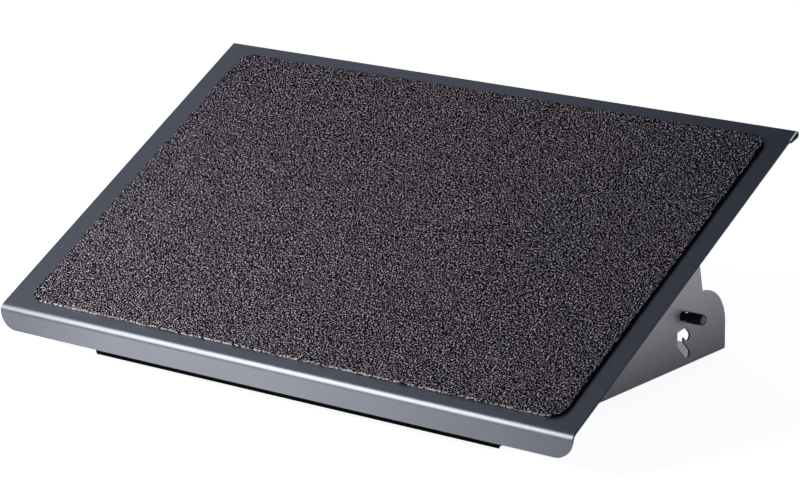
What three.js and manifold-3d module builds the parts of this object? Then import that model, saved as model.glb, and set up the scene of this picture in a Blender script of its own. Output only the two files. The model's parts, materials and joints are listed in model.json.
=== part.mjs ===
import * as THREE from 'three';
import { mergeVertices } from 'three/addons/utils/BufferGeometryUtils.js';
import Module from 'manifold-3d';

const wasm = await Module();
wasm.setup();

// Tilting under desk footrest, in millimetres.
// X runs across, Y from the lip's face to the rear, Z up from the floor.
// The platform is drawn locked in its top pocket, the steepest of its three settings.

// Sheet steel, with bends measured outside
const sheet = 1.5;
const bendRadius = 2.5;

// Platform: one sheet with a folded lip in front and a rolled hem behind
const platformWidth = 500;
const platformDepth = 300.7;
const platformTilt = 29.2;
const cornerHeight = 28;
const lipDrop = 16.2;
const lipCornerRadius = 14;
const foldRadius = 7;
const hemRadius = 2.6;
const hemReturn = 8;
const hemGap = 0.3;

// Grip mat, glued on the platform, a little to the right of its middle
const matSideBorder = 17.6;
const matOffset = 2;
const matFrontBorder = 11;
const matRearBorder = 12.7;
const matThickness = 2;
const matCornerRadius = 11;
const glueGap = 0.3;

// Base: two side walls with inward flanges under a flat floor panel
const sideOverhang = 72;
const wallFront = 23;
const wallRear = 287.9;
const floorGap = 0.8;
const wallBendRadius = 1.8;
const frontCornerRadius = 6;
const frontWallHeight = 24;
const frontCrestRadius = 9;
const crestFront = 200;
const shoulderHeight = 50.1;
const shoulderRadius = 29;
const wallFlange = 18;
const flangeFront = 31;
const panelFront = 23.5;
const panelRear = 277;
const panelSideGap = 1.5;
const panelCornerRadius = 4;
const seatGap = 0.1;

// Rubber edging on the panel's front edge
const stripFront = 21;
const stripDepth = 7;
const stripLip = 1.5;
const stripWeb = 1;
const stripOverhang = 1;
const stripSlant = 2;

// Rubber feet under the wall flanges
const footWidth = 12;
const footLength = 40;
const footCornerRadius = 4;
const footInset = 9.5;
const frontFootSetback = 62;
const rearFootSetback = 22;

// Pivot between the base walls and the platform's brackets
const pivotSetback = 33;
const pivotHeight = 13;
const boltDiameter = 6;
const boltClearance = 0.2;
const boltHeadDiameter = 12;
const boltHeadHeight = 3.5;
const boltHeadEdge = 1.8;
const boltTail = 1.5;
const threadChamfer = 0.6;
const spacerThickness = 0.8;
const spacerDiameter = 14;
const washerThickness = 1.2;
const washerDiameter = 12;
const nutAcrossFlats = 10;
const nutThickness = 5;

// Brackets under the platform
const bracketGap = 1;
const bracketBoss = 9;
const bracketRear = 254.8;
const bracketRearLevel = 52;
const bracketRearLean = 11.3;
const bracketCornerRadius = 5;
const bracketFlange = 18;
const weldGap = 0.2;

// Locking rod, its end sleeves and the pockets that hold it
const rodDiameter = 6;
const rodReach = 207;
const rodOverhang = 11.6;
const rodChamfer = 0.5;
const rodTravel = 9.9;
const rodSlotAngle = 20;
const sleeveDiameter = 8;
const sleeveChamfer = 0.6;
const sleeveFit = 0.15;
const sleeveGap = 0.3;
const gripSideGap = 1;
const slotClearance = 0.2;
const lowPocketHeight = 9.3;
const middlePocketHeight = 22;
const topPocketHeight = 36.2;
const pocketMouthAngle = 45;
const toothLead = 3.5;
const channelWidth = 7.9;
const flareBase = 30;
const flareReach = 4.8;

// Hat-section stiffener across the platform's underside
const stiffenerMiddle = 165;
const stiffenerFlange = 14;
const stiffenerHeight = 14;
const stiffenerCrown = 24;
const stiffenerSideGap = 2;

// How far a cutter runs past what it cuts
const overrun = 2;

// Facets of rounded shapes
const bendStep = 10;
const filletSteps = 8;
const roundSides = 32;

const rad = THREE.MathUtils.degToRad;
const deg = THREE.MathUtils.radToDeg;

// Places worked out from the sizes above
const wallOuter = platformWidth / 2 - sideOverhang;
const wallInner = wallOuter - sheet;
const bracketInner = wallOuter + bracketGap;
const bracketOuter = bracketInner + sheet;
const boltRadius = boltDiameter / 2;
const rodRadius = rodDiameter / 2;
const pocketRadius = rodRadius + slotClearance;
const rodEnd = bracketOuter + rodOverhang;
const flangeTop = floorGap + sheet;
const panelBottom = flangeTop + seatGap;
const panelTop = panelBottom + sheet;
const stripTop = panelTop + seatGap + stripLip;
const underPlatform = -sheet - weldGap;

// A point at a distance and a direction in degrees from another
function step(point, angle, length) {
  const a = rad(angle);
  return new THREE.Vector2(point.x + length * Math.cos(a), point.y + length * Math.sin(a));
}

// The rod's place in the pocket at a given height, on its circle about the pivot
function pocketCentre(height) {
  const rise = height - pivotHeight;
  return new THREE.Vector2(pivotSetback + Math.sqrt(rodReach ** 2 - rise ** 2), height);
}

const lowPocket = pocketCentre(lowPocketHeight);
const middlePocket = pocketCentre(middlePocketHeight);
const topPocket = pocketCentre(topPocketHeight);
const toothFront = topPocket.x - toothLead;

// How far the platform drops from the top pocket to the low one, in degrees
function riseAngle(height) {
  return deg(Math.asin((height - pivotHeight) / rodReach));
}
const tiltDrop = riseAngle(topPocketHeight) - riseAngle(lowPocketHeight);

// Axes of the platform's slope: across, up the slope and square to it
const across = new THREE.Vector3(1, 0, 0);
const upSlope = new THREE.Vector3(0, Math.cos(rad(platformTilt)), Math.sin(rad(platformTilt)));
const offSlope = new THREE.Vector3(0, -Math.sin(rad(platformTilt)), Math.cos(rad(platformTilt)));
const slopeCorner = new THREE.Vector3(0, 0, cornerHeight);

// Height of the platform's top plane above a setback from the lip's face
function platformHeight(setback) {
  return cornerHeight + setback * Math.tan(rad(platformTilt));
}

// Outline of a bent strip: it follows runs and turns, half the thickness to each side
function bentOutline(start, heading, moves, thickness) {
  const left = [];
  const right = [];
  const at = start.clone();
  let angle = heading;
  const mark = () => {
    left.push(step(at, angle + 90, thickness / 2));
    right.push(step(at, angle - 90, thickness / 2));
  };
  mark();
  for (const move of moves) {
    if (move.run) {
      at.copy(step(at, angle, move.run));
      mark();
    } else {
      const side = Math.sign(move.turn);
      const centre = step(at, angle + side * 90, move.radius);
      const count = Math.ceil(Math.abs(move.turn) / bendStep);
      for (let i = 0; i < count; i++) {
        angle += move.turn / count;
        at.copy(step(centre, angle - side * 90, move.radius));
        mark();
      }
    }
  }
  return left.concat(right.reverse());
}

// Outline through corners, each [x, y, radius], with its corners rounded
function roundedOutline(corners) {
  const points = [];
  const count = corners.length;
  for (let i = 0; i < count; i++) {
    const [x, y, radius] = corners[i];
    const corner = new THREE.Vector2(x, y);
    if (!radius) {
      points.push(corner);
      continue;
    }
    const before = corners[(i + count - 1) % count];
    const after = corners[(i + 1) % count];
    const toBefore = new THREE.Vector2(before[0] - x, before[1] - y).normalize();
    const toAfter = new THREE.Vector2(after[0] - x, after[1] - y).normalize();
    const half = Math.acos(toBefore.dot(toAfter)) / 2;
    const bisector = toBefore.clone().add(toAfter).normalize();
    const centre = corner.clone().addScaledVector(bisector, radius / Math.sin(half));
    const first = corner.clone().addScaledVector(toBefore, radius / Math.tan(half));
    const last = corner.clone().addScaledVector(toAfter, radius / Math.tan(half));
    const from = Math.atan2(first.y - centre.y, first.x - centre.x);
    let sweep = Math.atan2(last.y - centre.y, last.x - centre.x) - from;
    sweep = Math.atan2(Math.sin(sweep), Math.cos(sweep));
    for (let k = 0; k <= filletSteps; k++) {
      points.push(step(centre, deg(from + sweep * k / filletSteps), radius));
    }
  }
  return points;
}

// Points of an arc about a centre, angles in degrees
function arcPoints(centre, radius, from, to) {
  const count = Math.max(2, Math.ceil(Math.abs(to - from) / bendStep));
  const points = [];
  for (let i = 0; i <= count; i++) points.push(step(centre, from + (to - from) * i / count, radius));
  return points;
}

function rectangle(width, height, radius) {
  const x = width / 2;
  const y = height / 2;
  return roundedOutline([[-x, -y, radius], [x, -y, radius], [x, y, radius], [-x, y, radius]]);
}

function ring(outerRadius, innerRadius, sides) {
  const shape = new THREE.Shape(arcCircle(outerRadius, sides));
  shape.holes.push(new THREE.Path(arcCircle(innerRadius, roundSides)));
  return shape;
}

function arcCircle(radius, sides) {
  const points = [];
  const centre = new THREE.Vector2(0, 0);
  for (let i = 0; i < sides; i++) points.push(step(centre, i * 360 / sides, radius));
  return points;
}

function asShape(outline) {
  return outline instanceof THREE.Shape ? outline : new THREE.Shape(outline);
}

function extrude(outline, length) {
  return new THREE.ExtrudeGeometry(asShape(outline), { depth: length, bevelEnabled: false });
}

// Outline in setback and height, drawn out across from one X to another
function extrudeAcross(outline, fromX, toX) {
  const axes = new THREE.Matrix4().makeBasis(
    new THREE.Vector3(0, 1, 0), new THREE.Vector3(0, 0, 1), across);
  return extrude(outline, toX - fromX).applyMatrix4(axes).translate(fromX, 0, 0);
}

// Outline in X and height, drawn out from one setback to another
function extrudeBack(outline, fromY, toY) {
  const axes = new THREE.Matrix4().makeBasis(
    across, new THREE.Vector3(0, 0, 1), new THREE.Vector3(0, -1, 0));
  return extrude(outline, toY - fromY).applyMatrix4(axes).translate(0, toY, 0);
}

// Outline in X and Y, drawn out upwards
function extrudeUp(outline, fromZ, toZ) {
  return extrude(outline, toZ - fromZ).translate(0, 0, fromZ);
}

// Outline in X and depth off the platform's top plane, drawn out up its slope
function extrudeUpSlope(outline, length) {
  const axes = new THREE.Matrix4().makeBasis(across, offSlope, upSlope.clone().negate());
  const far = slopeCorner.clone().addScaledVector(upSlope, length);
  return extrude(outline, length).applyMatrix4(axes.setPosition(far));
}

// Outline on the slope, up it and off it, drawn out across
function extrudeAcrossSlope(outline, fromX, toX) {
  const axes = new THREE.Matrix4().makeBasis(upSlope, offSlope, across);
  const near = slopeCorner.clone().setX(fromX);
  return extrude(outline, toX - fromX).applyMatrix4(axes.setPosition(near));
}

// Outline on the platform's top plane, across and up the slope, raised off it
function extrudeOffSlope(outline, fromDepth, toDepth) {
  const axes = new THREE.Matrix4().makeBasis(across, upSlope, offSlope);
  const low = slopeCorner.clone().addScaledVector(offSlope, fromDepth);
  return extrude(outline, toDepth - fromDepth).applyMatrix4(axes.setPosition(low));
}

// Turned shape about the X axis, its profile in radius and distance outwards
function turnAcross(profile, side) {
  const points = profile.map(([radius, out]) => new THREE.Vector2(radius, out));
  return new THREE.LatheGeometry(points, roundSides).rotateZ(-side * Math.PI / 2);
}

function toSolid(geometry) {
  const bare = geometry.clone();
  bare.deleteAttribute('uv');
  bare.deleteAttribute('normal');
  const merged = mergeVertices(bare);
  return new wasm.Manifold(new wasm.Mesh({
    numProp: 3,
    vertProperties: Float32Array.from(merged.attributes.position.array),
    triVerts: Uint32Array.from(merged.index.array),
  }));
}

function toGeometry(solid) {
  const mesh = solid.getMesh();
  const geometry = new THREE.BufferGeometry();
  geometry.setAttribute('position', new THREE.BufferAttribute(mesh.vertProperties, 3));
  geometry.setIndex(new THREE.BufferAttribute(mesh.triVerts, 1));
  geometry.computeVertexNormals();
  return geometry;
}

function cut(body, ...tools) {
  let solid = toSolid(body);
  for (const tool of tools) solid = solid.subtract(toSolid(tool));
  return toGeometry(solid);
}

function common(first, second) {
  return toGeometry(toSolid(first).intersect(toSolid(second)));
}

function join(first, second) {
  return toGeometry(toSolid(first).add(toSolid(second)));
}

// Cutter for a round hole across the part
function holeAcross(centre, radius, fromX, toX) {
  const outline = arcPoints(centre, radius, 0, 360 - 360 / roundSides);
  return extrudeAcross(outline, fromX, toX);
}

// Platform sheet, with the lip's two lower corners rounded off
function platformSheet() {
  const foldAngle = 90 - platformTilt;
  const foldTangent = foldRadius * Math.tan(rad(foldAngle / 2));
  const closing = deg(Math.asin((2 * (hemRadius - sheet) - hemGap) / hemReturn));
  const outline = bentOutline(new THREE.Vector2(sheet / 2, cornerHeight - lipDrop), 90, [
    { run: lipDrop - foldTangent },
    { turn: -foldAngle, radius: foldRadius - sheet / 2 },
    { run: platformDepth - foldTangent - hemRadius },
    { turn: -180 - closing, radius: hemRadius - sheet / 2 },
    { run: hemReturn },
  ], sheet);
  const body = extrudeAcross(outline, -platformWidth / 2, platformWidth / 2);
  return cut(body, lipCorner(1), lipCorner(-1));
}

// Cutter that leaves a quarter round at one end of the lip
function lipCorner(side) {
  const edge = platformWidth / 2;
  const low = cornerHeight - lipDrop;
  const centre = new THREE.Vector2(edge - lipCornerRadius, low + lipCornerRadius);
  const outline = [
    ...arcPoints(centre, lipCornerRadius, 0, -90),
    new THREE.Vector2(centre.x, low - overrun),
    new THREE.Vector2(edge + overrun, low - overrun),
    new THREE.Vector2(edge + overrun, centre.y),
  ].map((point) => new THREE.Vector2(side * point.x, point.y));
  return extrudeBack(outline, -overrun, foldRadius);
}

function gripMat() {
  const width = platformWidth - 2 * matSideBorder;
  const depth = platformDepth - matFrontBorder - matRearBorder;
  const outline = rectangle(width, depth, matCornerRadius)
    .map((point) => new THREE.Vector2(point.x + matOffset, point.y + matFrontBorder + depth / 2));
  return extrudeOffSlope(outline, glueGap, glueGap + matThickness);
}

// Hat section under the platform, its flanges against the sheet
function crossStiffener() {
  const bend = bendRadius - sheet / 2;
  const rise = stiffenerHeight - sheet - 2 * bend;
  const half = stiffenerCrown / 2 + stiffenerFlange + bend;
  const start = new THREE.Vector2(stiffenerMiddle - half, underPlatform - sheet / 2);
  const outline = bentOutline(start, 0, [
    { run: stiffenerFlange - bend },
    { turn: -90, radius: bend },
    { run: rise },
    { turn: 90, radius: bend },
    { run: stiffenerCrown - 2 * bend },
    { turn: 90, radius: bend },
    { run: rise },
    { turn: -90, radius: bend },
    { run: stiffenerFlange - bend },
  ], sheet);
  const halfWidth = bracketOuter - bracketFlange - stiffenerSideGap;
  return extrudeAcrossSlope(outline, -halfWidth, halfWidth);
}

// Side view of a bracket: boss at the pivot, level lower edge when the platform is down
function bracketOutline() {
  const front = pivotSetback - bracketBoss;
  const touch = step(new THREE.Vector2(pivotSetback, pivotHeight), tiltDrop - 90, bracketBoss);
  const slope = Math.tan(rad(tiltDrop));
  const lean = Math.tan(rad(bracketRearLean));
  const lowerEdge = (setback) => touch.y + (setback - touch.x) * slope;
  const rearEdge = (height) => bracketRear - (height - bracketRearLevel) * lean;
  const rearLow = (rearEdge(0) - lean * lowerEdge(0)) / (1 + lean * slope);
  const rise = Math.tan(rad(platformTilt));
  const rearHigh = (rearEdge(0) - lean * cornerHeight) / (1 + lean * rise);
  return roundedOutline([
    [front, lowerEdge(front), bracketBoss],
    [rearLow, lowerEdge(rearLow), bracketCornerRadius],
    [rearHigh, platformHeight(rearHigh), 0],
    [front, platformHeight(front), 0],
  ]);
}

// Slot that lets the rod slide forwards in its bracket
function rodSlot(fromX, toX) {
  const far = step(topPocket, 180 - rodSlotAngle, rodTravel);
  const outline = [
    ...arcPoints(topPocket, pocketRadius, -90 - rodSlotAngle, 90 - rodSlotAngle),
    ...arcPoints(far, pocketRadius, 90 - rodSlotAngle, 270 - rodSlotAngle),
  ];
  return extrudeAcross(outline, fromX, toX);
}

// Bracket: a plate bent inwards along its top into a flange that is welded to the platform
function bracket(side) {
  const bend = bendRadius - sheet / 2;
  const leg = platformDepth * Math.sin(rad(platformTilt));
  const start = new THREE.Vector2((bracketInner + bracketOuter) / 2, -leg);
  const section = bentOutline(start, 90, [
    { run: leg + underPlatform - bendRadius },
    { turn: 90, radius: bend },
    { run: bracketFlange - bendRadius },
  ], sheet).map((point) => new THREE.Vector2(side * point.x, point.y));
  const near = bracketInner - bracketFlange - overrun;
  const far = bracketOuter + overrun;
  const fromX = Math.min(side * near, side * far);
  const toX = Math.max(side * near, side * far);
  const blank = common(extrudeUpSlope(section, platformDepth),
    extrudeAcross(bracketOutline(), fromX, toX));
  const pivot = new THREE.Vector2(pivotSetback, pivotHeight);
  const hole = holeAcross(pivot, boltRadius + boltClearance, fromX, toX);
  return cut(blank, hole, rodSlot(fromX, toX));
}

// Side view of a base wall, with its rounded shoulder behind
function wallOutline() {
  return roundedOutline([
    [wallFront, floorGap, frontCornerRadius],
    [wallRear, floorGap, 0],
    [wallRear, shoulderHeight, shoulderRadius],
    [crestFront, shoulderHeight, 0],
    [wallFront, frontWallHeight, frontCrestRadius],
  ]);
}

// Stepped slot of a base wall: a channel with hooked pockets behind it, open at the top
function pocketSlot(fromX, toX) {
  const channelFront = toothFront - channelWidth;
  const top = shoulderHeight + overrun;
  const mouth = pocketMouthAngle;
  const slopeSum = (centre, offset) => centre.x + centre.y + offset * pocketRadius * Math.SQRT2;
  const outline = [
    new THREE.Vector2(channelFront - flareReach, top),
    new THREE.Vector2(channelFront, flareBase),
    new THREE.Vector2(channelFront, slopeSum(lowPocket, -1) - channelFront),
    ...arcPoints(lowPocket, pocketRadius, -180 + mouth, mouth),
    new THREE.Vector2(toothFront, slopeSum(lowPocket, 1) - toothFront),
    new THREE.Vector2(toothFront, slopeSum(middlePocket, -1) - toothFront),
    ...arcPoints(middlePocket, pocketRadius, -180 + mouth, mouth),
    new THREE.Vector2(toothFront, slopeSum(middlePocket, 1) - toothFront),
    topToothTip(),
    ...arcPoints(topPocket, pocketRadius, -90 - rodSlotAngle, 0),
    new THREE.Vector2(topPocket.x + pocketRadius, top),
  ];
  return extrudeAcross(outline, fromX, toX);
}

// Tip of the tooth under the top pocket, whose floor runs the way the rod slides
function topToothTip() {
  const touch = step(topPocket, -90 - rodSlotAngle, pocketRadius);
  const rise = (touch.x - toothFront) * Math.tan(rad(rodSlotAngle));
  return new THREE.Vector2(toothFront, touch.y + rise);
}

// Base wall: a plate bent inwards along its foot
function baseWall(side) {
  const bend = wallBendRadius - sheet / 2;
  const start = new THREE.Vector2(wallOuter - wallFlange, floorGap + sheet / 2);
  const section = bentOutline(start, 0, [
    { run: wallFlange - wallBendRadius },
    { turn: 90, radius: bend },
    { run: shoulderHeight },
  ], sheet).map((point) => new THREE.Vector2(side * point.x, point.y));
  const near = wallOuter - wallFlange - overrun;
  const far = wallOuter + overrun;
  const fromX = Math.min(side * near, side * far);
  const toX = Math.max(side * near, side * far);
  const blank = common(extrudeBack(section, wallFront - overrun, wallRear + overrun),
    extrudeAcross(wallOutline(), fromX, toX));
  const pivot = new THREE.Vector2(pivotSetback, pivotHeight);
  const hole = holeAcross(pivot, boltRadius + boltClearance, fromX, toX);
  return cut(blank, hole, pocketSlot(fromX, toX), flangeRelief(side));
}

// Cutter that ends the flange behind the front edging
function flangeRelief(side) {
  const near = side * (wallOuter - wallFlange - overrun);
  const far = side * (wallOuter - wallBendRadius);
  const outline = [
    new THREE.Vector2(near, floorGap - overrun),
    new THREE.Vector2(far, floorGap - overrun),
    new THREE.Vector2(far, flangeTop + overrun),
    new THREE.Vector2(near, flangeTop + overrun),
  ];
  return extrudeBack(outline, wallFront - overrun, flangeFront);
}

function basePanel() {
  const middle = (panelFront + panelRear) / 2;
  const width = 2 * (wallInner - panelSideGap);
  const outline = rectangle(width, panelRear - panelFront, panelCornerRadius)
    .map((point) => new THREE.Vector2(point.x, point.y + middle));
  return extrudeUp(outline, panelBottom, panelTop);
}

// Rubber edging: a channel over the panel's front edge, with a web that covers the walls' ends
function frontStrip() {
  const rear = stripFront + stripDepth;
  const slotFront = panelFront - 2 * seatGap;
  const channel = extrudeAcross([
    new THREE.Vector2(stripFront, 0),
    new THREE.Vector2(rear, 0),
    new THREE.Vector2(rear, panelBottom - seatGap),
    new THREE.Vector2(slotFront, panelBottom - seatGap),
    new THREE.Vector2(slotFront, panelTop + seatGap),
    new THREE.Vector2(rear, panelTop + seatGap),
    new THREE.Vector2(rear, stripTop),
    new THREE.Vector2(stripFront, stripTop),
  ], -wallInner + panelSideGap, wallInner - panelSideGap);
  const edge = wallOuter + stripOverhang;
  const web = extrudeBack([
    new THREE.Vector2(-edge + stripSlant, 0),
    new THREE.Vector2(edge - stripSlant, 0),
    new THREE.Vector2(edge, stripTop),
    new THREE.Vector2(-edge, stripTop),
  ], stripFront, stripFront + stripWeb);
  return join(channel, web);
}

function foot(side, middle) {
  const x = side * (wallOuter - footInset);
  const outline = rectangle(footWidth, footLength, footCornerRadius)
    .map((point) => new THREE.Vector2(point.x + x, point.y + middle));
  return extrudeUp(outline, 0, floorGap - seatGap);
}

// Pan-head bolt, its head outside the bracket and its tail past the nut
function pivotBolt() {
  const tail = nutInner() - boltTail;
  const seat = bracketOuter + boltClearance;
  const head = seat + boltHeadHeight;
  const headRadius = boltHeadDiameter / 2;
  const dome = new THREE.Vector2(0, seat + boltHeadEdge);
  const profile = [
    [0, tail],
    [boltRadius - threadChamfer, tail],
    [boltRadius, tail + threadChamfer],
    [boltRadius, seat],
    [headRadius, seat],
  ];
  for (let i = 0; i <= filletSteps; i++) {
    const angle = (i / filletSteps) * Math.PI / 2;
    profile.push([headRadius * Math.cos(angle), dome.y + (head - dome.y) * Math.sin(angle)]);
  }
  profile[profile.length - 1][0] = 0;
  return profile;
}

function washerOuter() {
  return wallInner - seatGap;
}

function nutInner() {
  return washerOuter() - washerThickness - seatGap - nutThickness;
}

// Flat ring on the pivot's axis, between two distances from the middle
function pivotRing(side, shape, near, far) {
  const fromX = Math.min(side * near, side * far);
  return extrudeAcross(shape, fromX, fromX + far - near).translate(0, pivotSetback, pivotHeight);
}

function rodProfile() {
  const shoulder = rodEnd - rodChamfer;
  return [
    [0, -rodEnd],
    [rodRadius - rodChamfer, -rodEnd],
    [rodRadius, -shoulder],
    [rodRadius, shoulder],
    [rodRadius - rodChamfer, rodEnd],
    [0, rodEnd],
  ];
}

function sleeveProfile() {
  const bore = rodRadius + sleeveFit;
  const radius = sleeveDiameter / 2;
  const near = bracketOuter + sleeveGap;
  return [
    [bore, near],
    [radius, near],
    [radius, rodEnd - sleeveChamfer],
    [radius - sleeveChamfer, rodEnd],
    [bore, rodEnd],
    [bore, near],
  ];
}

// Grip: a sleeve over the rod's middle, where the fingers pull it
function gripProfile() {
  const bore = rodRadius + sleeveFit;
  const radius = sleeveDiameter / 2;
  const end = wallInner - gripSideGap;
  return [
    [bore, -end],
    [radius - sleeveChamfer, -end],
    [radius, -end + sleeveChamfer],
    [radius, end - sleeveChamfer],
    [radius - sleeveChamfer, end],
    [bore, end],
    [bore, -end],
  ];
}

function finish(color, roughness, metalness) {
  return new THREE.MeshStandardMaterial({ color, roughness, metalness });
}

const finishes = {
  platformCoat: () => finish(0x4a5360, 0.42, 0.55),
  bracketCoat: () => finish(0x77737c, 0.5, 0.5),
  grip: () => finish(0x393436, 0.95, 0),
  rubber: () => finish(0x121214, 0.85, 0),
  zinc: () => finish(0x9a9ca0, 0.35, 0.9),
  nylon: () => finish(0xd9d6cc, 0.6, 0),
  blackened: () => finish(0x141316, 0.45, 0.6),
  sleeve: () => finish(0x0c0b0d, 0.5, 0),
};

const footrest = new THREE.Group();

function add(name, geometry, material) {
  const mesh = new THREE.Mesh(geometry, material());
  mesh.name = name;
  footrest.add(mesh);
  return mesh;
}

add('platform_sheet', platformSheet(), finishes.platformCoat);
add('grip_mat', gripMat(), finishes.grip);
add('cross_stiffener', crossStiffener(), finishes.platformCoat);
add('base_panel', basePanel(), finishes.bracketCoat);
add('front_edge_strip', frontStrip(), finishes.rubber);

const pivotPoint = [0, pivotSetback, pivotHeight];
const rodPoint = [0, topPocket.x, topPocket.y];

for (const [word, side] of [['left', -1], ['right', 1]]) {
  add(`${word}_bracket`, bracket(side), finishes.bracketCoat);
  add(`${word}_base_wall`, baseWall(side), finishes.bracketCoat);
  add(`front_${word}_foot`, foot(side, frontFootSetback), finishes.rubber);
  add(`rear_${word}_foot`, foot(side, wallRear - rearFootSetback), finishes.rubber);

  const spacer = ring(spacerDiameter / 2, boltRadius + boltClearance, roundSides);
  const spacerNear = wallOuter + (bracketGap - spacerThickness) / 2;
  add(`${word}_pivot_spacer`,
    pivotRing(side, spacer, spacerNear, spacerNear + spacerThickness), finishes.nylon);

  const washer = ring(washerDiameter / 2, boltRadius + boltClearance, roundSides);
  add(`${word}_pivot_washer`,
    pivotRing(side, washer, washerOuter() - washerThickness, washerOuter()), finishes.zinc);

  const nutRadius = nutAcrossFlats / 2 / Math.cos(Math.PI / 6);
  const nut = ring(nutRadius, boltRadius + boltClearance, 6);
  add(`${word}_pivot_nut`,
    pivotRing(side, nut, nutInner(), nutInner() + nutThickness), finishes.zinc);

  add(`${word}_pivot_bolt`, turnAcross(pivotBolt(), side), finishes.zinc)
    .position.set(...pivotPoint);
  add(`${word}_rod_sleeve`, turnAcross(sleeveProfile(), side), finishes.sleeve)
    .position.set(...rodPoint);
}

add('locking_rod', turnAcross(rodProfile(), 1), finishes.blackened).position.set(...rodPoint);
add('rod_grip', turnAcross(gripProfile(), 1), finishes.sleeve).position.set(...rodPoint);

// The origin is on the floor, under the middle of the whole footrest
footrest.position.y = -wallRear / 2;

export default footrest;
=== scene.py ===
import json
import math

import bmesh
import bpy
from mathutils import Matrix, Vector


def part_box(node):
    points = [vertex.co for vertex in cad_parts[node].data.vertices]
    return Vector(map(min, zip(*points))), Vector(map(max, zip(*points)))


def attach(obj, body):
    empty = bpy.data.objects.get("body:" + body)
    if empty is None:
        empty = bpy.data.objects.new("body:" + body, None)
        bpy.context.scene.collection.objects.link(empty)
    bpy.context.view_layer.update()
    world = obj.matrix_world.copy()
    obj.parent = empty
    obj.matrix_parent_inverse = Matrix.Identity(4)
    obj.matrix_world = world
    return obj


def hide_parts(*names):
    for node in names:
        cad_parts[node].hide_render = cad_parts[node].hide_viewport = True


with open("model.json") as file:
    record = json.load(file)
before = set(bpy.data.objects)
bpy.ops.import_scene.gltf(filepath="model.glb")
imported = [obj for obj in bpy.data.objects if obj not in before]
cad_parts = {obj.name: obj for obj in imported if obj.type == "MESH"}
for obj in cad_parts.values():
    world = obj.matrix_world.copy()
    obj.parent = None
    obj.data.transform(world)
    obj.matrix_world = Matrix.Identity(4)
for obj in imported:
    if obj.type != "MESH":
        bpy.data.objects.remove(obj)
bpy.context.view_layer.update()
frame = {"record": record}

# Sizes are in metres. A value whose name ends in DEGREES is in degrees, other turns in radians
MM = 0.001

# Closeness at which vertices merge, and turns that count as flat, sharp or smooth
MERGE_DISTANCE = 0.001 * MM
FLAT_DEGREES = 1
SHARP_DEGREES = 50
SQUARE_DEGREES = 60
SMOOTH_DEGREES = 35
BEND_STEP_DEGREES = 7

# The platform's slope, taken from the surface that the feet rest on
REST = next(m for m in frame["record"]["mounts"] if m["name"] == "foot_surface")
MAT_MIDDLE = Vector(REST["pos_m"])
TILT = math.atan2(-REST["axis"][1], REST["axis"][2])

# Sheet steel and its forming
SHEET = 1.5 * MM
CUT_EDGE = 0.3 * MM
FOLD_RADIUS = 7 * MM
HEM_RADIUS = 2.6 * MM
HEM_RETURN = 8 * MM
HEM_GAP = 0.3 * MM

# Platform
LIP_DROP = 16.2 * MM
LIP_CORNER = 14 * MM
LIP_CORNER_STEPS = 14
PLATFORM_DEPTH = 300.7 * MM
TRIM_ALLOWANCE = 4 * MM
PLATFORM_LOW, PLATFORM_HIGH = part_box("platform_sheet")
LIP_Y = PLATFORM_LOW.y
LIP_Z = PLATFORM_LOW.z
HALF_WIDTH = PLATFORM_HIGH.x

# Grip mat
MAT_THICKNESS = 2 * MM
MAT_CORNER = 11 * MM
MAT_GRAIN = 1.5 * MM
MAT_ROLL = 0.4 * MM
MAT_ROLL_STEPS = 3
MAT_SIDE_SHARE = 0.8
MAT_SMOOTH_DEGREES = 50
CRINKLE_HEIGHT = 0.2 * MM
CRINKLE_SIZE = 1.6 * MM
MAT_LOW, MAT_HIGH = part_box("grip_mat")
MAT_HALF_X = (MAT_HIGH.x - MAT_LOW.x) / 2
MAT_HALF_Y = (MAT_HIGH.y - MAT_LOW.y - MAT_THICKNESS * math.sin(TILT)) / math.cos(TILT) / 2
MAT_FRONT = MAT_MIDDLE.y * math.cos(TILT) + MAT_MIDDLE.z * math.sin(TILT) - MAT_HALF_Y

# Places measured along and across the platform's slope, from the origin
MAT_TOP = MAT_MIDDLE.z * math.cos(TILT) - MAT_MIDDLE.y * math.sin(TILT)
MAT_SIDE_TOP = MAT_TOP - MAT_ROLL * MAT_SIDE_SHARE
SKIN_UNDERSIDE = MAT_TOP - MAT_THICKNESS - SHEET
# Length of the painted glint on the top skin's cut edge beside the hem
GLINT_LENGTH = 12 * MM
HEM_PLACE = PLATFORM_HIGH.y * math.cos(TILT) + PLATFORM_HIGH.z * math.sin(TILT)
# Where the painted glint starts along the slope
GLINT_START = HEM_PLACE - GLINT_LENGTH

# Rubber edging and feet
STRIP_ROUND = 0.2 * MM
FOOT_CORNER = 4 * MM
FOOT_CORNER_STEPS = 6
FOOT_ROUND = 0.1 * MM
FOOT_RIM = 1.5 * MM
FOOT_HOLLOW = 0.25 * MM
DOWNWARD = 0.9

# Pivot hardware
BOLT_RADIUS = 3 * MM
BORE_CLEARANCE = 0.2 * MM
THREAD_PITCH = 1 * MM
THREAD_DEPTH = 0.55 * MM
THREAD_TURNS = 6
HEAD_HEIGHT = 3.5 * MM
HEAD_EDGE = 1.8 * MM
DOME_STEP_DEGREES = 10
HEX_SIDES = 6
HEX_SOCKET = 4 * MM
SOCKET_DEPTH = 1.8 * MM
NUT_CHAMFER = 0.9 * MM
NUT_SMOOTH_DEGREES = 20
WASHER_CHAMFER = 0.2 * MM

# Locking rod
ROD_RADIUS = 3 * MM
ROD_CHAMFER = 0.5 * MM
SLEEVE_FIT = 0.15 * MM
SLEEVE_ROUND = 0.5 * MM

# Facets of turned pieces
TURN_SIDES = 48

# Fineness of the finishes' patterns, in repeats a metre, and the height of their relief
FLAKE_FINENESS = 2600
PEEL_FINENESS = 620
PEEL_HEIGHT = 0.012 * MM
GRAIN_FINENESS = 790
PIT_FINENESS = 870
PIT_TURN = 0.7
GRAIN_HEIGHT = 1.6 * MM
# Fineness of the specks of painted light on the mat's front side
PAINTED_FRONT_FINENESS = 650

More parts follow.
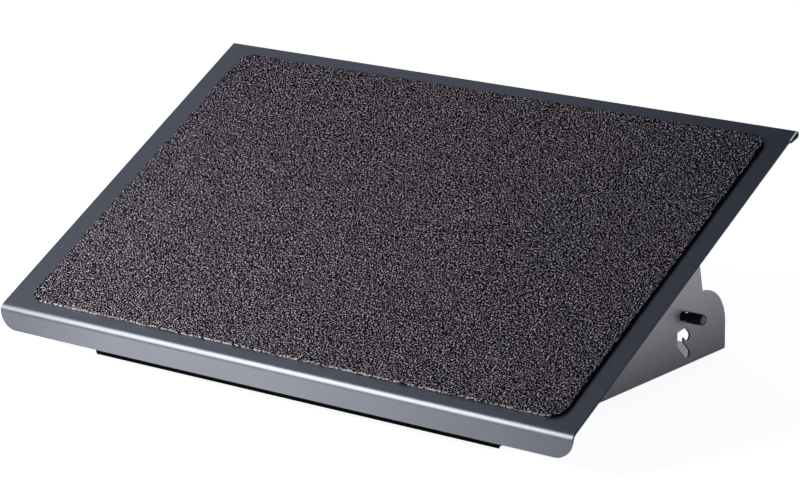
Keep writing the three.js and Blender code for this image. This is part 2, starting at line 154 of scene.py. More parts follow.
# Camera, as solved from the photograph's edges
CAMERA_AZIMUTH_DEGREES = 38.29
CAMERA_ELEVATION_DEGREES = 15.49
CAMERA_ROLL_DEGREES = -0.77
CAMERA_DISTANCE = 2.3885
CAMERA_TARGET = Vector((-4.7 * MM, LIP_Y + 151 * MM, 74.75 * MM))
FOCAL_SHARE = 3406 / 800
SENSOR = 36
CLIP_END = 100

# Studio: the floor and its mirror image with its painted pool of light, and the heading and height
# of the white wall behind
FLOOR_SIZE = 12
FLOOR_DROP = 0.2 * MM
FLOOR_GLOW = 0.88
PAINTED_POOL_START = 0.2
WALL_HEADING = 0.4
WALL_HEIGHT = 0.4


class Value:
    """A shader socket that takes part in arithmetic; each operation adds a Math node."""

    def __init__(self, tree, socket):
        self.tree = tree
        self.socket = socket

    def _math(self, operation, first, second=None):
        node = self.tree.nodes.new("ShaderNodeMath")
        node.operation = operation
        for slot, item in zip(node.inputs, (first, second)):
            if isinstance(item, Value):
                self.tree.links.new(item.socket, slot)
            elif item is not None:
                slot.default_value = item
        return Value(self.tree, node.outputs[0])

    def __add__(self, other):
        return self._math("ADD", self, other)

    def __radd__(self, other):
        return self._math("ADD", other, self)

    def __sub__(self, other):
        return self._math("SUBTRACT", self, other)

    def __rsub__(self, other):
        return self._math("SUBTRACT", other, self)

    def __mul__(self, other):
        return self._math("MULTIPLY", self, other)

    def __gt__(self, other):
        return self._math("GREATER_THAN", self, other)

    def __lt__(self, other):
        return self._math("LESS_THAN", self, other)

    def size(self):
        return self._math("ABSOLUTE", self)

    def clamped(self):
        low = self._math("MAXIMUM", self, 0.0)
        return low._math("MINIMUM", low, 1.0)


class Finish:
    """Nodes of a material or world, each made by one method."""

    def __init__(self, owner):
        owner.use_nodes = True
        self.owner = owner
        self.tree = owner.node_tree
        self.tree.nodes.clear()

    def node(self, kind, settings=None, inputs=None):
        node = self.tree.nodes.new(kind)
        for name, value in (settings or {}).items():
            if name == "stops":
                self.set_stops(node.color_ramp, value)
            else:
                setattr(node, name, value)
        for name, value in (inputs or {}).items():
            socket = next(s for s in node.inputs if s.enabled and s.name == name)
            if isinstance(value, Value):
                self.tree.links.new(value.socket, socket)
            else:
                socket.default_value = value
        return node

    def out(self, node, name=None):
        sockets = [s for s in node.outputs if s.enabled and name in (None, s.name)]
        return Value(self.tree, sockets[0])

    @staticmethod
    def set_stops(ramp, stops):
        while len(ramp.elements) < len(stops):
            ramp.elements.new(1.0)
        for element, (place, color) in zip(ramp.elements, stops):
            element.position = place
            element.color = color

    def place(self, scale=(1, 1, 1), turn=(0, 0, 0)):
        """Object coordinates, turned and scaled."""
        coordinates = self.node("ShaderNodeTexCoord")
        return self.out(self.node("ShaderNodeMapping", inputs={
            "Vector": self.out(coordinates, "Object"), "Rotation": turn, "Scale": scale}))

    def along(self, vector, axis):
        return self.out(self.node("ShaderNodeSeparateXYZ", inputs={"Vector": vector}), axis)

    def noise(self, vector, scale, detail=2.0, roughness=0.5):
        return self.out(self.node("ShaderNodeTexNoise", inputs={
            "Vector": vector, "Scale": scale, "Detail": detail, "Roughness": roughness}), "Fac")

    def cells(self, vector, scale):
        return self.node("ShaderNodeTexVoronoi", {"voronoi_dimensions": "2D"}, {
            "Vector": vector, "Scale": scale})

    def ramp(self, value, stops):
        return self.out(self.node("ShaderNodeValToRGB", {"stops": stops}, {"Fac": value}), "Color")

    def level(self, value, stops):
        """A number that follows another through stops of place and level, as a grey ramp."""
        return self.out(self.node("ShaderNodeRGBToBW", inputs={"Color": self.ramp(
            value, [(place, (level, level, level, 1)) for place, level in stops])}))

    def mix(self, share, first, second, blend="MIX"):
        return self.out(self.node(
            "ShaderNodeMix", {"data_type": "RGBA", "blend_type": blend},
            {"Factor": share, "A": first, "B": second}))

    def bump(self, height, distance):
        return self.out(self.node("ShaderNodeBump", inputs={
            "Height": height, "Distance": distance}))

    def surface(self, **inputs):
        named = {key.replace("_", " "): value for key, value in inputs.items()}
        shader = self.node("ShaderNodeBsdfPrincipled", inputs=named)
        self.node("ShaderNodeOutputMaterial", inputs={"Surface": self.out(shader)})
        return self.owner


def linear(red, green, blue):
    """A colour given as it looks on screen, 0 to 255, turned to the shader's linear scale."""
    def one(channel):
        share = channel / 255
        return share / 12.92 if share <= 0.04045 else ((share + 0.055) / 1.055) ** 2.4
    return (one(red), one(green), one(blue), 1.0)


def powder_coat(name, dark, light, metallic, roughness, ends_at=None):
    """Metallic powder coat: a faint cloudy tone, fine flakes and an orange-peel surface."""
    finish = Finish(bpy.data.materials.new(name))
    place = finish.place()
    cloud = finish.noise(place, scale=14, detail=3)
    flake = finish.noise(place, scale=FLAKE_FINENESS, detail=0)
    tone = finish.mix((cloud * 0.5 + flake * 0.5).clamped(), dark, light)
    # The cut ends get painted shade, and a painted glint beside the hem
    if ends_at:
        tone = cut_ends_painted_light(finish, tone, finish.along(place, "X").size() > ends_at - CUT_EDGE / 2)
    peel = finish.noise(place, scale=PEEL_FINENESS, detail=2)
    return finish.surface(
        Base_Color=tone,
        Metallic=metallic,
        Roughness=(roughness + (peel - 0.5) * 0.12).clamped(),
        Normal=finish.bump(peel * 0.8 + flake * 0.2, distance=PEEL_HEIGHT),
    )


def cut_ends_painted_light(finish, tone, cut):
    """The coat on the sheet's cut ends: painted dark as shade, with a painted glint on the top
    skin's edge beside the hem.
    """
    flat = finish.place(turn=(-TILT, 0, 0))
    skin = finish.along(flat, "Z") > SKIN_UNDERSIDE
    painted_glint = cut * skin * (finish.along(flat, "Y") > GLINT_START)
    # Painted shade on the cut ends
    tone = finish.mix(cut, tone, linear(22, 24, 30))
    # Painted glint on the top skin's cut edge beside the hem
    return finish.mix(painted_glint, tone, linear(176, 178, 186))


def crinkle_rubber(name):
    """Charcoal rubber sheet with a crinkled face: a random grain whose colour follows the
    crinkle's height, black in the pits as painted shade and near-white on the tips as painted
    highlights.
    """
    finish = Finish(bpy.data.materials.new(name))
    place = finish.place(turn=(-TILT, 0, 0))
    turned_place = finish.place(turn=(-TILT, 0, PIT_TURN))
    grains = finish.out(finish.cells(place, GRAIN_FINENESS), "Distance")
    pits = finish.out(finish.cells(turned_place, PIT_FINENESS), "Distance")
    rise = 0.5 + (grains - pits) * 0.5
    # Colour by the crinkle's height: the black pits are painted shade and the near-white tips are
    # painted highlights
    tone = finish.ramp(rise, [
        (0.53, linear(1, 1, 2)),
        (0.575, linear(28, 24, 29)),
        (0.61, linear(146, 136, 146)),
        (0.65, linear(250, 244, 250)),
    ])
    warm = finish.noise(place, scale=9, detail=2)
    tint = finish.mix(warm, linear(236, 230, 246), linear(255, 244, 240))
    tone = finish.mix(1.0, tone, tint, "MULTIPLY")
    # The mat's sides, painted black as shade and kept free of the crinkle
    side = finish.along(place, "Z") < MAT_SIDE_TOP
    return finish.surface(
        Base_Color=mat_sides_painted_light(finish, place, tone, side),
        Roughness=(0.6 + rise * 0.3).clamped(),
        Specular_IOR_Level=0.15,
        Normal=finish.bump(rise * (1 - side), distance=GRAIN_HEIGHT),
    )


def mat_sides_painted_light(finish, place, tone, side):
    """The mat's sides: painted black as shade, but the front one has painted light in specks."""
    front = finish.along(place, "Y") < MAT_FRONT + MAT_ROLL
    # Painted light in specks on the front side
    painted_front_specks = finish.ramp(finish.noise(place, scale=PAINTED_FRONT_FINENESS, detail=1), [
        (0.46, linear(24, 22, 25)), (0.56, linear(255, 250, 255))])
    return finish.mix(front, finish.mix(side, tone, linear(9, 8, 10)), painted_front_specks)


def soft_rubber(name):
    """Black rubber with a dusty bloom."""
    finish = Finish(bpy.data.materials.new(name))
    place = finish.place()
    dust = finish.noise(place, scale=300, detail=4)
    return finish.surface(
        Base_Color=finish.mix(dust, linear(3, 3, 4), linear(16, 15, 17)),
        Roughness=0.7 + dust * 0.2,
        Specular_IOR_Level=0.2,
        Normal=finish.bump(finish.noise(place, scale=1500, detail=2), distance=0.05 * MM),
    )


def zinc_plate(name):
    """Bright zinc plating over turned steel."""
    finish = Finish(bpy.data.materials.new(name))
    lines = finish.noise(finish.place(scale=(1, 0.15, 0.15)), scale=2400, detail=3)
    cloud = finish.noise(finish.place(), scale=120, detail=2)
    return finish.surface(
        Base_Color=finish.mix(cloud, linear(168, 170, 176), linear(204, 203, 194)),
        Metallic=1.0,
        Roughness=(0.22 + lines * 0.22).clamped(),
        Normal=finish.bump(lines, distance=0.01 * MM),
    )


def natural_nylon(name):
    """Undyed nylon, slightly mottled."""
    finish = Finish(bpy.data.materials.new(name))
    place = finish.place()
    cloud = finish.noise(place, scale=200, detail=2)
    return finish.surface(
        Base_Color=finish.mix(cloud, linear(214, 210, 198), linear(228, 225, 215)),
        Roughness=0.45 + cloud * 0.15,
        Normal=finish.bump(finish.noise(place, scale=1400, detail=1), distance=0.02 * MM),
    )


def blackened_steel(name, ends_at):
    """Blackened rod stock with fine drawn lines; its sawn ends are bare."""
    finish = Finish(bpy.data.materials.new(name))
    place = finish.place()
    lines = finish.noise(finish.place(scale=(0.02, 1, 1)), scale=2600, detail=3)
    cloud = finish.noise(place, scale=60, detail=3)
    shade = (lines * 0.5 + cloud * 0.5).clamped()
    black = finish.mix(shade, linear(12, 12, 13), linear(30, 29, 32))
    bare = finish.mix(cloud, linear(84, 80, 83), linear(116, 112, 116))
    end = finish.along(place, "X").size() > ends_at - ROD_CHAMFER
    return finish.surface(
        Base_Color=finish.mix(end, black, bare),
        Metallic=end * 0.8,
        Roughness=(0.3 + lines * 0.25).clamped(),
        Normal=finish.bump(lines, distance=0.015 * MM),
    )


def black_vinyl(name, ends_at):
    """Smooth black vinyl sleeve, painted grey at the rod's ends as a highlight on its cut rim."""
    finish = Finish(bpy.data.materials.new(name))
    place = finish.place()
    cloud = finish.noise(place, scale=160, detail=2)
    end = finish.along(place, "X").size() > ends_at - SLEEVE_ROUND * 0.9
    black = finish.mix(cloud, linear(5, 5, 6), linear(14, 13, 15))
    # Painted highlight on the sleeve's end rim
    painted_rim = finish.mix(cloud, linear(120, 118, 124), linear(150, 148, 154))
    return finish.surface(
        Base_Color=finish.mix(end, black, painted_rim),
        Roughness=(0.45 + cloud * 0.14).clamped(),
        Normal=finish.bump(finish.noise(place, scale=1700, detail=1), distance=0.02 * MM),
    )


ROD_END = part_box("locking_rod")[1].x
FINISHES = {
    "platform_coat": powder_coat(
        "platform_coat", dark=linear(129, 131, 139), light=linear(143, 146, 154),
        metallic=0.85, roughness=0.32, ends_at=HALF_WIDTH),
    "side_coat": powder_coat(
        "side_coat", dark=linear(146, 141, 148), light=linear(164, 159, 167),
        metallic=0.8, roughness=0.34),
    "grip_mat": crinkle_rubber("grip_mat"),
    "black_rubber": soft_rubber("black_rubber"),
    "zinc_hardware": zinc_plate("zinc_hardware"),
    "nylon_spacer": natural_nylon("nylon_spacer"),
    "blackened_rod": blackened_steel("blackened_rod", ROD_END),
    "rod_sleeve": black_vinyl("rod_sleeve", ROD_END),
}


def alone(piece):
    """Makes a piece the only one selected, and the active one."""
    bpy.ops.object.select_all(action="DESELECT")
    piece.select_set(True)
    bpy.context.view_layer.objects.active = piece


def begin(name, primitive, **settings):
    """Adds a primitive, alone in the selection, and names it."""
    bpy.ops.object.select_all(action="DESELECT")
    primitive(**settings)
    piece = bpy.context.object
    piece.name = name
    piece.data.name = name
    return piece


def apply_place(piece):
    alone(piece)
    bpy.ops.object.transform_apply(location=True, rotation=True, scale=True)


def block(name, low, high):
    """A box between two corners, to be shaped further."""
    piece = begin(name, bpy.ops.mesh.primitive_cube_add, size=1, location=(low + high) / 2)
    piece.scale = high - low
    apply_place(piece)
    return piece


def pick(piece, kind, test):
    """In edit mode, selects the vertices, edges or faces that pass a test."""
    modes = ("VERT", "EDGE", "FACE")
    bpy.context.tool_settings.mesh_select_mode = [kind == mode for mode in modes]
    bpy.ops.mesh.select_all(action="DESELECT")
    mesh = bmesh.from_edit_mesh(piece.data)
    items = {"VERT": mesh.verts, "EDGE": mesh.edges, "FACE": mesh.faces}[kind]
    for item in items:
        if test(item):
            item.select_set(True)
    mesh.select_flush_mode()
    bmesh.update_edit_mesh(piece.data)


def face_outwards(piece):
    """Merges doubled vertices and turns the faces of a closed body outwards."""
    alone(piece)
    bpy.ops.object.mode_set(mode="EDIT")
    bpy.ops.mesh.select_all(action="SELECT")
    bpy.ops.mesh.remove_doubles(threshold=MERGE_DISTANCE)
    bpy.ops.mesh.normals_make_consistent(inside=False)
    bpy.ops.object.mode_set(mode="OBJECT")


def modify(piece, kind, **settings):
    """Adds a modifier and applies it."""
    alone(piece)
    modifier = piece.modifiers.new(kind.title(), kind)
    for name, value in settings.items():
        setattr(modifier, name, value)
    bpy.ops.object.modifier_apply(modifier=modifier.name)


def soften(piece, width, angle=SHARP_DEGREES, segments=2):
    """Rounds the edges where faces meet more sharply than an angle in degrees."""
    modify(piece, "BEVEL", width=width, segments=segments, limit_method="ANGLE",
           angle_limit=math.radians(angle))


def trim_to(piece, blank, operation="INTERSECT"):
    """Keeps what lies inside the blank, or cuts it away; the blank is then discarded."""
    modify(piece, "BOOLEAN", operation=operation, object=blank, solver="EXACT")
    bpy.data.objects.remove(blank)


def twin(piece, name, scale=(1, 1, 1), shift=(0, 0, 0)):
    """A copy with its own mesh, mirrored or moved from the piece's own place."""
    alone(piece)
    bpy.ops.object.duplicate()
    copy = bpy.context.object
    copy.name = name
    copy.data.name = name
    copy.scale = scale
    copy.location = shift
    apply_place(copy)
    return copy


def finish_piece(piece, slot, body, node, smooth=SMOOTH_DEGREES):
    """Cleans and shades a piece, gives it its finish, ties it to its body and hides the node it
    stands in for.
    """
    face_outwards(piece)
    bpy.ops.object.shade_smooth_by_angle(angle=math.radians(smooth))
    modify(piece, "WEIGHTED_NORMAL", keep_sharp=True)
    piece.data.materials.clear()
    piece.data.materials.append(FINISHES[slot])
    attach(piece, body)
    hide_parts(node)


def finish_pair(right, slot, body, node, smooth=SMOOTH_DEGREES):
    """Finishes a right-hand piece and its mirrored twin on the left."""
    left = twin(right, right.name.replace("right", "left"), scale=(-1, 1, 1))
    finish_piece(right, slot, body, f"right_{node}", smooth)
    finish_piece(left, slot, body, f"left_{node}", smooth)


def form_strip(start, heading, moves):
    """Walks the selected edge along runs and turns, as a press forms a sheet."""
    point = start.copy()
    for run, turn, radius in moves:
        along = Vector((0, math.cos(heading), math.sin(heading)))
        if run:
            bpy.ops.mesh.extrude_region_move(TRANSFORM_OT_translate={"value": along * run})
            point += along * run
        else:
            side = math.copysign(1, turn)
            centre = point + Vector((0, -along.z, along.y)) * side * radius
            steps = max(3, round(abs(turn) / math.radians(BEND_STEP_DEGREES)))
            bpy.ops.mesh.spin(steps=steps, angle=-turn, center=centre, axis=(1, 0, 0))
            point = centre + Matrix.Rotation(turn, 3, "X") @ (point - centre)
            heading += turn


def platform():
    """The tread: a sheet with a folded lip in front, rounded at both ends, and a hem behind."""
    fold = math.pi / 2 - TILT
    fold_tangent = FOLD_RADIUS * math.tan(fold / 2)
    closing = math.asin((2 * (HEM_RADIUS - SHEET) - HEM_GAP) / HEM_RETURN)
    lip_run = LIP_DROP - fold_tangent + TRIM_ALLOWANCE
    low = Vector((0, LIP_Y + SHEET / 2, LIP_Z - TRIM_ALLOWANCE))
    piece = lip_skin(low, lip_run)
    middle = low.z + lip_run / 2
    bpy.ops.object.mode_set(mode="EDIT")
    pick(piece, "EDGE", lambda edge: all(v.co.z > middle for v in edge.verts))
    form_strip(low + Vector((0, 0, lip_run)), math.pi / 2, [
        (0, -fold, FOLD_RADIUS - SHEET / 2),
        (PLATFORM_DEPTH - fold_tangent - HEM_RADIUS, 0, 0),
        (0, -math.pi - closing, HEM_RADIUS - SHEET / 2),
        (HEM_RETURN, 0, 0),
    ])
    bpy.ops.object.mode_set(mode="OBJECT")
    face_outwards(piece)
    modify(piece, "SOLIDIFY", thickness=SHEET, offset=0, use_even_offset=True)
    face_outwards(piece)
    trim_to(piece, lip_blank())
    soften(piece, CUT_EDGE, angle=SQUARE_DEGREES)
    finish_piece(piece, "platform_coat", "platform", "platform_sheet")


def lip_skin(low, run):
    """The lip's middle plane, from whose upper edge the rest of the sheet is formed."""
    piece = begin(
        "platform", bpy.ops.mesh.primitive_plane_add, size=1,
        location=low + Vector((0, 0, run / 2)), rotation=(math.pi / 2, 0, 0))
    piece.scale = (2 * (HALF_WIDTH + TRIM_ALLOWANCE), run, 1)
    apply_place(piece)
    return piece


def lip_blank():
    """The outline that the platform is trimmed to, with the lip's two lower corners round."""
    high = PLATFORM_HIGH + Vector((0, TRIM_ALLOWANCE, TRIM_ALLOWANCE))
    low = Vector((-HALF_WIDTH, LIP_Y - TRIM_ALLOWANCE, LIP_Z))
    blank = block("blank", low, high)
    bpy.ops.object.mode_set(mode="EDIT")
    pick(blank, "EDGE", lambda edge: all(v.co.z < LIP_Z + LIP_DROP for v in edge.verts)
         and abs(edge.verts[0].co.y - edge.verts[1].co.y) > LIP_DROP)
    bpy.ops.mesh.bevel(offset=LIP_CORNER, segments=LIP_CORNER_STEPS, affect="EDGES")
    bpy.ops.object.mode_set(mode="OBJECT")
    return blank


def mat():
    """Grip mat: a thin sheet with round corners, a rolled edge and a crinkled face."""
    piece = begin(
        "mat", bpy.ops.mesh.primitive_grid_add, size=1,
        x_subdivisions=round(2 * MAT_HALF_X / MAT_GRAIN),
        y_subdivisions=round(2 * MAT_HALF_Y / MAT_GRAIN))
    piece.scale = (2 * MAT_HALF_X, 2 * MAT_HALF_Y, 1)
    apply_place(piece)
    round_corners(piece.data)
    bpy.ops.object.mode_set(mode="EDIT")
    bpy.ops.mesh.select_mode(type="EDGE")
    bpy.ops.mesh.select_all(action="DESELECT")
    bpy.ops.mesh.select_non_manifold()
    bpy.ops.mesh.extrude_region_move(
        TRANSFORM_OT_translate={"value": (0, 0, -MAT_THICKNESS)})
    bpy.ops.mesh.edge_face_add()
    bpy.ops.mesh.select_all(action="SELECT")
    bpy.ops.mesh.normals_make_consistent(inside=False)
    bpy.ops.object.mode_set(mode="OBJECT")
    soften(piece, MAT_ROLL, angle=SQUARE_DEGREES, segments=MAT_ROLL_STEPS)
    crinkle(piece)
    piece.rotation_euler = (TILT, 0, 0)
    piece.location = MAT_MIDDLE
    apply_place(piece)
    finish_piece(piece, "grip_mat", "platform", "grip_mat", smooth=MAT_SMOOTH_DEGREES)


def round_corners(mesh):
    """Draws the mat's square corners in to quarter rounds, ring by ring."""
    inner_x = MAT_HALF_X - MAT_CORNER
    inner_y = MAT_HALF_Y - MAT_CORNER
    for vertex in mesh.vertices:
        in_x = abs(vertex.co.x) - inner_x
        in_y = abs(vertex.co.y) - inner_y
        if in_x > 0 and in_y > 0:
            share = max(in_x, in_y) / math.hypot(in_x, in_y)
            vertex.co.x = math.copysign(inner_x + in_x * share, vertex.co.x)
            vertex.co.y = math.copysign(inner_y + in_y * share, vertex.co.y)


def crinkle(piece):
    """Raises the face by a fine cloud pattern."""
    group = piece.vertex_groups.new(name="face")
    face = [v.index for v in piece.data.vertices if v.co.z > -MAT_ROLL / 4]
    group.add(face, 1.0, "REPLACE")
    texture = bpy.data.textures.new("crinkle", "CLOUDS")
    texture.noise_scale = CRINKLE_SIZE
    texture.noise_depth = 1
    modify(piece, "DISPLACE", texture=texture, texture_coords="LOCAL", direction="Z",
           strength=CRINKLE_HEIGHT, mid_level=0.5, vertex_group="face")


def from_outline(name, node, edge=CUT_EDGE):
    """A plate or strip cut and bent on its node's outline, with its edges taken off."""
    piece = bpy.data.objects.new(name, bpy.data.objects[node].data.copy())
    bpy.context.collection.objects.link(piece)
    piece.data.name = name
    face_outwards(piece)
    bpy.ops.object.mode_set(mode="EDIT")
    bpy.ops.mesh.select_all(action="SELECT")
    bpy.ops.mesh.dissolve_limited(angle_limit=math.radians(FLAT_DEGREES))
    bpy.ops.object.mode_set(mode="OBJECT")
    soften(piece, edge)
    return piece


def turned(name, rings, middle, closed=False):
    """A piece turned about an axis across the footrest, through rings of place and radius."""
    place, radius = rings[0]
    piece = begin(
        name, bpy.ops.mesh.primitive_circle_add, vertices=TURN_SIDES, radius=radius,
        fill_type="NOTHING" if closed else "NGON",
        location=(place, middle.y, middle.z), rotation=(0, math.pi / 2, 0))
    apply_place(piece)
    bpy.ops.object.mode_set(mode="EDIT")
    bpy.ops.mesh.select_mode(type="EDGE")
    bpy.ops.mesh.select_all(action="SELECT")
    for next_place, next_radius in rings[1:]:
        bpy.ops.mesh.extrude_region_move(
            TRANSFORM_OT_translate={"value": (next_place - place, 0, 0)})
        growth = next_radius / radius
        bpy.ops.transform.resize(
            value=(1, growth, growth), center_override=(next_place, middle.y, middle.z))
        place, radius = next_place, next_radius
    bpy.ops.object.mode_set(mode="OBJECT")
    face_outwards(piece)
    return piece


def tube(name, node, bore, chamfer):
    """A tube or ring that fills its node's box, with chamfered outer ends."""
    low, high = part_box(node)
    radius = (high.z - low.z) / 2
    return turned(name, [
        (low.x, bore), (low.x, radius - chamfer), (low.x + chamfer, radius),
        (high.x - chamfer, radius), (high.x, radius - chamfer), (high.x, bore), (low.x, bore),
    ], (low + high) / 2, closed=True)


def rod():
    """The locking rod, with a grip on its middle and a sleeve on each end."""
    low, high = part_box("locking_rod")
    piece = turned("rod", [
        (low.x, ROD_RADIUS - ROD_CHAMFER), (low.x + ROD_CHAMFER, ROD_RADIUS),
        (high.x - ROD_CHAMFER, ROD_RADIUS), (high.x, ROD_RADIUS - ROD_CHAMFER),
    ], (low + high) / 2)
    finish_piece(piece, "blackened_rod", "rod", "locking_rod")
    bore = ROD_RADIUS + SLEEVE_FIT
    grip = tube("grip", "rod_grip", bore, SLEEVE_ROUND)
    finish_piece(grip, "rod_sleeve", "rod", "rod_grip")
    sleeve = tube("right_sleeve", "right_rod_sleeve", bore, SLEEVE_ROUND)
    finish_pair(sleeve, "rod_sleeve", "rod", "rod_sleeve")


def bolt():
    """Domed bolt with a hexagon socket, and threaded at its tail."""
    low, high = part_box("right_pivot_bolt")
    middle = (low + high) / 2
    head = (high.z - low.z) / 2
    seat = high.x - HEAD_HEIGHT
    root = BOLT_RADIUS - THREAD_DEPTH
    rings = [(low.x, root)]
    for turn in range(THREAD_TURNS):
        rings.append((low.x + THREAD_PITCH * (turn + 0.5), BOLT_RADIUS))
        rings.append((low.x + THREAD_PITCH * (turn + 1), root))
    thread_end = low.x + THREAD_PITCH * (THREAD_TURNS + 0.5)
    rings += [(thread_end, BOLT_RADIUS), (seat, BOLT_RADIUS), (seat, head)]
    for degrees in range(0, 90, DOME_STEP_DEGREES):
        angle = math.radians(degrees)
        place = seat + HEAD_EDGE + (HEAD_HEIGHT - HEAD_EDGE) * math.sin(angle)
        rings.append((place, head * math.cos(angle)))
    piece = turned("right_bolt", rings, middle)
    socket = begin(
        "socket", bpy.ops.mesh.primitive_cylinder_add, vertices=HEX_SIDES,
        radius=HEX_SOCKET / math.sqrt(3), depth=2 * SOCKET_DEPTH,
        location=(high.x, middle.y, middle.z), rotation=(0, math.pi / 2, 0))
    apply_place(socket)
    trim_to(piece, socket, "DIFFERENCE")
    finish_pair(piece, "zinc_hardware", "base", "pivot_bolt")


def nut():
    """Hexagon nut, its corners turned off on both faces."""
    low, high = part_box("right_pivot_nut")
    middle = (low + high) / 2
    corner = (high.y - low.y) / 2
    piece = begin(
        "right_nut", bpy.ops.mesh.primitive_cylinder_add, vertices=HEX_SIDES, radius=corner,
        depth=high.x - low.x, location=middle, rotation=(0, math.pi / 2, 0))
    apply_place(piece)
    outer = corner + NUT_CHAMFER
    trim_to(piece, turned("blank", [
        (low.x, corner - NUT_CHAMFER), (low.x + NUT_CHAMFER, outer),
        (high.x - NUT_CHAMFER, outer), (high.x, corner - NUT_CHAMFER),
    ], middle))
    reach = high.x - low.x
    trim_to(piece, turned("bore", [
        (low.x - reach, BOLT_RADIUS + BORE_CLEARANCE),
        (high.x + reach, BOLT_RADIUS + BORE_CLEARANCE),
    ], middle), "DIFFERENCE")
    finish_pair(piece, "zinc_hardware", "base", "pivot_nut", smooth=NUT_SMOOTH_DEGREES)


def pivots():
    """Bolt, spacer, washer and nut at each side."""
    bolt()
    nut()
    bore = BOLT_RADIUS + BORE_CLEARANCE
    spacer = tube("right_spacer", "right_pivot_spacer", bore, WASHER_CHAMFER)
    finish_pair(spacer, "nylon_spacer", "base", "pivot_spacer")
    washer = tube("right_washer", "right_pivot_washer", bore, WASHER_CHAMFER)
    finish_pair(washer, "zinc_hardware", "base", "pivot_washer")


def feet():
    """Rubber feet: pads with round corners, hollowed underneath inside a rim."""
    places = ("front_right", "front_left", "rear_right", "rear_left")
    low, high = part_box("front_right_foot")
    first = block("front_right_pad", low, high)
    bpy.ops.object.mode_set(mode="EDIT")
    pick(first, "EDGE", lambda edge: edge.verts[0].co.z != edge.verts[1].co.z)
    bpy.ops.mesh.bevel(offset=FOOT_CORNER, segments=FOOT_CORNER_STEPS, affect="EDGES")
    pick(first, "FACE", lambda face: face.normal.z < -DOWNWARD)
    bpy.ops.mesh.inset(thickness=FOOT_RIM)
    bpy.ops.transform.translate(value=(0, 0, FOOT_HOLLOW))
    bpy.ops.object.mode_set(mode="OBJECT")
    soften(first, FOOT_ROUND)
    pads = [first]
    for place in places[1:]:
        pads.append(twin(first, f"{place}_pad", shift=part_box(f"{place}_foot")[0] - low))
    for place, pad in zip(places, pads):
        finish_piece(pad, "black_rubber", "base", f"{place}_foot")


def base():
    """Floor panel, side walls with their pockets, edging and feet."""
    finish_piece(from_outline("floor_panel", "base_panel"), "side_coat", "base", "base_panel")
    side = from_outline("right_side", "right_base_wall")
    finish_pair(side, "side_coat", "base", "base_wall")
    strip = from_outline("edge_strip", "front_edge_strip", STRIP_ROUND)
    finish_piece(strip, "black_rubber", "base", "front_edge_strip")
    feet()


def arms():
    """The brackets under the platform, and the stiffener between them."""
    arm = from_outline("right_arm", "right_bracket")
    finish_pair(arm, "side_coat", "platform", "bracket")
    stiffener = from_outline("stiffener", "cross_stiffener")
    finish_piece(stiffener, "platform_coat", "platform", "cross_stiffener")


def camera():
    """The photograph's viewpoint."""
    azimuth = math.radians(CAMERA_AZIMUTH_DEGREES)
    elevation = math.radians(CAMERA_ELEVATION_DEGREES)
    back = Vector((
        math.sin(azimuth) * math.cos(elevation),
        -math.cos(azimuth) * math.cos(elevation),
        math.sin(elevation)))
    right = Vector((0, 0, 1)).cross(back).normalized()
    right = Matrix.Rotation(math.radians(CAMERA_ROLL_DEGREES), 3, back) @ right
    up = back.cross(right)
    data = bpy.data.cameras.new("camera")
    data.sensor_width = SENSOR
    data.lens = SENSOR * FOCAL_SHARE
    data.clip_end = CLIP_END
    holder = bpy.data.objects.new("camera", data)
    bpy.context.collection.objects.link(holder)
    axes = Matrix((right, up, back)).transposed().to_4x4()
    axes.translation = CAMERA_TARGET + back * CAMERA_DISTANCE
    holder.matrix_world = axes
    bpy.context.scene.camera = holder


def lamp(name, place, aim, width, height, power, color=(1, 1, 1), spread=180):
    """A rectangular soft box; its power is in watts and its spread in degrees."""
    data = bpy.data.lights.new(name, "AREA")
    data.shape = "RECTANGLE"
    data.size = width
    data.size_y = height
    data.energy = power
    data.color = color
    data.spread = math.radians(spread)
    holder = bpy.data.objects.new(name, data)
    bpy.context.collection.objects.link(holder)
    holder.location = place
    holder.rotation_euler = (Vector(aim) - Vector(place)).to_track_quat("-Z", "Y").to_euler()


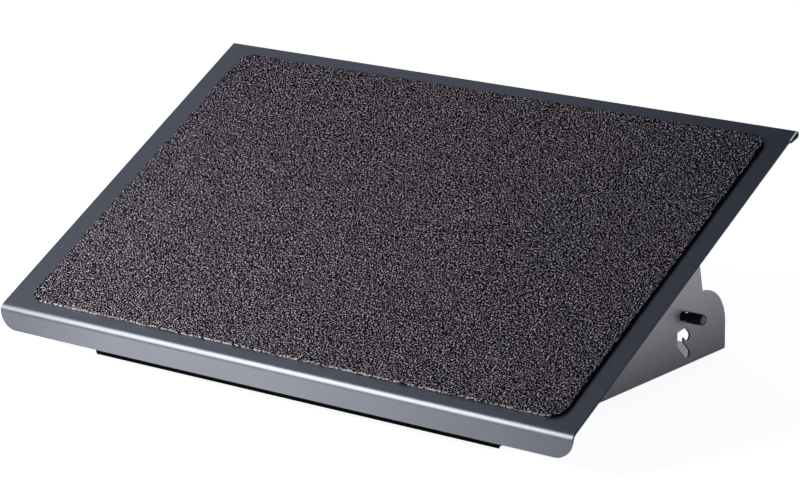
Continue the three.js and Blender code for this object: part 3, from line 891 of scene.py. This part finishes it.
def studio_floor():
    """Pale floor that keeps the shadow and is white to the lens; in reflections it shows painted
    shade beside the footrest and a painted pool of light before its lip.
    """
    floor = begin("floor", bpy.ops.mesh.primitive_plane_add, size=FLOOR_SIZE,
                  location=(0, 0, -FLOOR_DROP))
    finish = Finish(bpy.data.materials.new("floor"))
    path = finish.node("ShaderNodeLightPath")
    place = finish.place()
    # In reflections the floor has painted shade close beside the footrest, and a painted pool of
    # light before its lip
    beside = finish.level(finish.along(place, "X").size(), [
        (0.17, 0.06), (0.21, 0.24), (0.28, 0.6), (0.36, 1.0)])
    across = finish.along(finish.place(turn=(0, 0, math.radians(CAMERA_AZIMUTH_DEGREES))), "X")
    # Painted pool of light before the lip, seen only in reflections
    before = finish.level(across + PAINTED_POOL_START, [
        (0.05, 0.1), (0.1, 0.25), (0.17, 0.9), (0.26, 0.94),
        (0.37, 0.74), (0.43, 0.54), (0.5, 0.32), (0.6, 0.15)])
    in_front = finish.along(place, "Y") < LIP_Y
    mirrored = beside + in_front * (before - beside)
    seen = finish.out(path, "Is Camera Ray") + finish.out(path, "Is Transmission Ray")
    glow = (seen * FLOOR_GLOW + finish.out(path, "Is Glossy Ray") * mirrored).clamped()
    cloud = finish.noise(place, scale=3, detail=2)
    floor.data.materials.append(finish.surface(
        Base_Color=finish.mix(cloud, linear(226, 226, 226), linear(232, 232, 232)),
        Roughness=0.9,
        Emission_Color=finish.mix(glow, (0, 0, 0, 1), (1, 1, 1, 1)),
        Emission_Strength=1.0))


def studio_world():
    """White to the lens; for the rest, a dark ceiling, dim walls and a white wall behind."""
    world = bpy.data.worlds.new("studio")
    bpy.context.scene.world = world
    sky = Finish(world)
    heading = sky.out(sky.node("ShaderNodeTexCoord"), "Generated")
    height = sky.along(heading, "Z")
    walls = sky.ramp(height, [
        (0.0, (0.2, 0.2, 0.21, 1)),
        (0.28, (0.12, 0.12, 0.14, 1)),
        (0.5, (0.046, 0.055, 0.081, 1)),
        (1.0, (0.039, 0.047, 0.069, 1)),
    ])
    behind = (sky.along(heading, "Y") > WALL_HEADING) * (height < WALL_HEIGHT)
    walls = sky.mix(behind, walls, (1, 1, 1, 1))
    lens = sky.out(sky.node("ShaderNodeLightPath"), "Is Camera Ray")
    shader = sky.node("ShaderNodeBackground", inputs={
        "Color": sky.mix(lens, walls, (1, 1, 1, 1)), "Strength": 1.0})
    sky.node("ShaderNodeOutputWorld", inputs={"Surface": sky.out(shader)})


def studio():
    """Pale floor and soft boxes, shown at their plain values."""
    bpy.context.scene.view_settings.view_transform = "Standard"
    studio_floor()
    studio_world()
    lamp("key", (-0.82, -1.0, 0.77), aim=(0, 0, 0.05), width=0.9, height=0.8, power=3.9)
    lamp("front", (-0.36, -0.55, 0.34), aim=(-0.25, -0.3, 0), width=0.58, height=0.4,
         power=2.15, spread=160)
    lamp("overhead", (-0.85, 0.1, 0.97), aim=(-0.1, 0, 0.05), width=0.88, height=0.74,
         power=0.46, color=(0.78, 0.88, 1))


camera()
studio()
platform()
mat()
arms()
base()
pivots()
rod()

bpy.context.view_layer.update()
